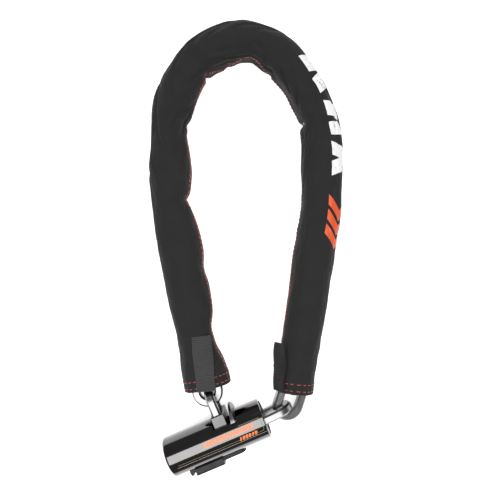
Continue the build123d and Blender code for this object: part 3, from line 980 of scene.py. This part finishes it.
@dataclass
class Label:
    """Plain printed marks on the barrel: slanted bars, a rounded outline and one thin line."""

    pin: Place
    axis: Place
    pin_line: float = 0.0534
    radius: float = 0.02416
    left: float = -0.052
    right: float = 0.0565
    low: float = -0.0073
    high: float = 0.0088
    corner: float = 0.003
    upper_run: float = 0.024
    outline_width: float = 0.0006
    line_start: float = -0.054
    line_length: float = 0.112
    line_girth: float = -0.0102
    line_width: float = 0.0005
    bar_slant: float = 0.45
    wide_bar: float = 0.78
    narrow_bar: float = 0.55

    def place(self, along: float, girth: float) -> Vector:
        """A place on the barrel.

        Args:
            along: metres from the barrel's middle.
            girth: metres round it from its top line, towards the socket.

        Returns:
            The place in the row frame.
        """
        line = Vector(self.axis).normalized()
        across = Vector((0, 0, 1)).cross(line)
        angle = girth / self.radius
        middle = Vector(self.pin) + line * (along - self.pin_line)
        return middle + (across * math.sin(angle) + Vector((0, 0, 1)) * math.cos(angle)) * self.radius

    def ribbon(self, grid: PieceMesh, points: list[tuple[float, float]], width: float, slot: int) -> None:
        """Adds a line of print.

        Args:
            grid: the piece under construction.
            points: places along it, as metres along and round the barrel.
            width: of the line.
            slot: the material slot.
        """
        rows = []
        for i, (u, v) in enumerate(points):
            before, after = points[max(0, i - 1)], points[min(len(points) - 1, i + 1)]
            run = Vector((after[0] - before[0], after[1] - before[1])).normalized() * width / 2
            rows.append([(grid.vertex(self.place(u + side * run.y, v - side * run.x)), (u, v + side * width))
                         for side in (-1, 1)])
        for first, second in zip(rows, rows[1:]):
            quad = [first[1], first[0], second[0], second[1]]
            grid.face([q[0] for q in quad], [q[1] for q in quad], slot)

    def bars(self, grid: PieceMesh, start: float, count: int, pitch: float, low: float, high: float) -> None:
        """Adds a row of slanted bars.

        Args:
            grid: the piece under construction.
            start: where the row starts along the barrel.
            count: how many bars.
            pitch: from one to the next.
            low: metres round the barrel at their feet.
            high: metres round it at their heads.
        """
        slant = (high - low) * self.bar_slant
        for i in range(count):
            foot = start + i * pitch
            steps = [k / 6 for k in range(7)]
            spine = [(foot + slant * t, low + (high - low) * t) for t in steps]
            self.ribbon(grid, spine, pitch * (self.wide_bar if i % 4 else self.narrow_bar), 0)

    def outline(self) -> list[tuple[float, float]]:
        """A rounded rectangle, open at its left end.

        Returns:
            Places along its line, as metres along and round the barrel.
        """
        corner = self.corner
        middle = self.right - corner
        turns = [math.pi / 2 * i / 6 for i in range(1, 6)]
        points = [(self.left + (middle - self.left) * i / 24, self.low) for i in range(25)]
        points += [(middle + corner * math.sin(turn), self.low + corner - corner * math.cos(turn))
                   for turn in turns]
        points += [(self.right, self.low + corner + (self.high - self.low - 2 * corner) * i / 10)
                   for i in range(11)]
        points += [(middle + corner * math.cos(turn), self.high - corner + corner * math.sin(turn))
                   for turn in turns]
        return points + [(middle - self.upper_run * i / 8, self.high) for i in range(9)]

    def build(self) -> None:
        """Builds the label on the barrel."""
        grid = PieceMesh("barrel_label")
        line = [(self.line_start + self.line_length * i / 24, self.line_girth) for i in range(25)]
        self.ribbon(grid, self.outline(), self.outline_width, 1)
        self.ribbon(grid, line, self.line_width, 2)
        self.bars(grid, start=-0.0155, count=17, pitch=0.0037, low=0.0004, high=0.0060)
        self.bars(grid, start=0.0260, count=6, pitch=0.0038, low=-0.0086, high=-0.0040)
        piece = grid.finish([LABEL_INK.build(), GOLD_INK.build(), PALE_INK.build()])
        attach(piece, "lock_body")
        log.info("%s built", piece.name)


@dataclass
class Studio:
    """Pale floor, soft lights and the camera overhead."""

    camera_place: Place = (0.00456, -0.00341, 0.704)
    lens: float = 40.8
    sensor: float = 36.0
    floor_size: float = 6.0
    floor_drop: float = 0.0002
    floor_glow: float = 0.6
    sky: float = 0.16

    def light(self, name: str, place: Place, target: Place, size: tuple[float, float], power: float,
              turn: float = 0.0) -> None:
        """Adds a soft rectangular light.

        Args:
            name: the light's name.
            place: where it hangs.
            target: what it faces.
            size: width and height in metres.
            power: watts.
            turn: about its own line of sight, for a light that faces straight down.
        """
        data = bpy.data.lights.new(name, "AREA")
        data.shape = "RECTANGLE"
        data.size, data.size_y = size
        data.energy = power
        lamp = bpy.data.objects.new(name, data)
        lamp.location = place
        aim = (Vector(target) - Vector(place)).to_track_quat("-Z", "Y").to_matrix().to_4x4()
        lamp.rotation_euler = (aim @ Matrix.Rotation(turn, 4, "Z")).to_euler()
        bpy.context.scene.collection.objects.link(lamp)

    def build(self) -> None:
        """Builds the floor, lights, sky and camera."""
        mesh = bpy.data.meshes.new("floor")
        half = self.floor_size / 2
        corners = [(x * half, y * half, -self.floor_drop) for x, y in ((-1, -1), (1, -1), (1, 1), (-1, 1))]
        mesh.from_pydata(corners, [], [(0, 1, 2, 3)])
        floor = bpy.data.objects.new("floor", mesh)
        bpy.context.scene.collection.objects.link(floor)
        nodes = Nodes("floor_paper")
        where = nodes.add("TexCoord").outputs["Object"]
        nodes.link(nodes.ramp(nodes.noise(where, 3.0), (0.93, 0.93, 0.93), (0.95, 0.95, 0.95)),
                   nodes.shader.inputs["Base Color"])
        nodes.shader.inputs["Roughness"].default_value = 0.9
        nodes.shader.inputs["Emission Color"].default_value = (1, 1, 1, 1)
        nodes.shader.inputs["Emission Strength"].default_value = self.floor_glow
        mesh.materials.append(nodes.material)
        self.light("overhead_softbox", (-0.02, -0.32, 1.15), (-0.02, -0.32, 0), (1.3, 0.95), 19,
                   math.radians(22.9))
        self.light("far_softbox", (0.1, 1.1, 1.0), (0, 0.1, 0), (1.4, 0.5), 9)
        world = bpy.data.worlds.new("studio")
        world.use_nodes = True
        background = world.node_tree.nodes["Background"]
        background.inputs["Color"].default_value = (1, 1, 1, 1)
        background.inputs["Strength"].default_value = self.sky
        bpy.context.scene.world = world
        data = bpy.data.cameras.new("camera")
        data.lens = self.lens
        data.sensor_width = self.sensor
        camera = bpy.data.objects.new("camera", data)
        camera.location = self.camera_place
        bpy.context.scene.collection.objects.link(camera)
        bpy.context.scene.camera = camera
        bpy.context.scene.view_settings.view_transform = "Standard"
        log.info("studio built")


def main() -> None:
    """Builds every piece in order."""
    logging.basicConfig(level=logging.INFO, format="%(name)s: %(message)s")
    FramePaint().dress()
    Sleeve().build()
    joints = {joint["name"]: joint for joint in frame["joints"]}
    left = tuple(joints["left_strap_lift"]["pos_m"])
    right = tuple(joints["right_strap_open"]["pos_m"])
    Strap("left_strap", "left_strap", left, lean=math.radians(5.5), roll=0.0, length=0.0645).build()
    Strap("right_strap", "right_strap", right, lean=math.radians(-0.5), roll=math.radians(-60.0),
          length=0.056, weave=BLACK_WEBBING).build()
    Label(joints["captive_link_rock"]["pos_m"], joints["bolt_slide"]["axis"]).build()
    Studio().build()


if __name__ == "__main__":
    main()
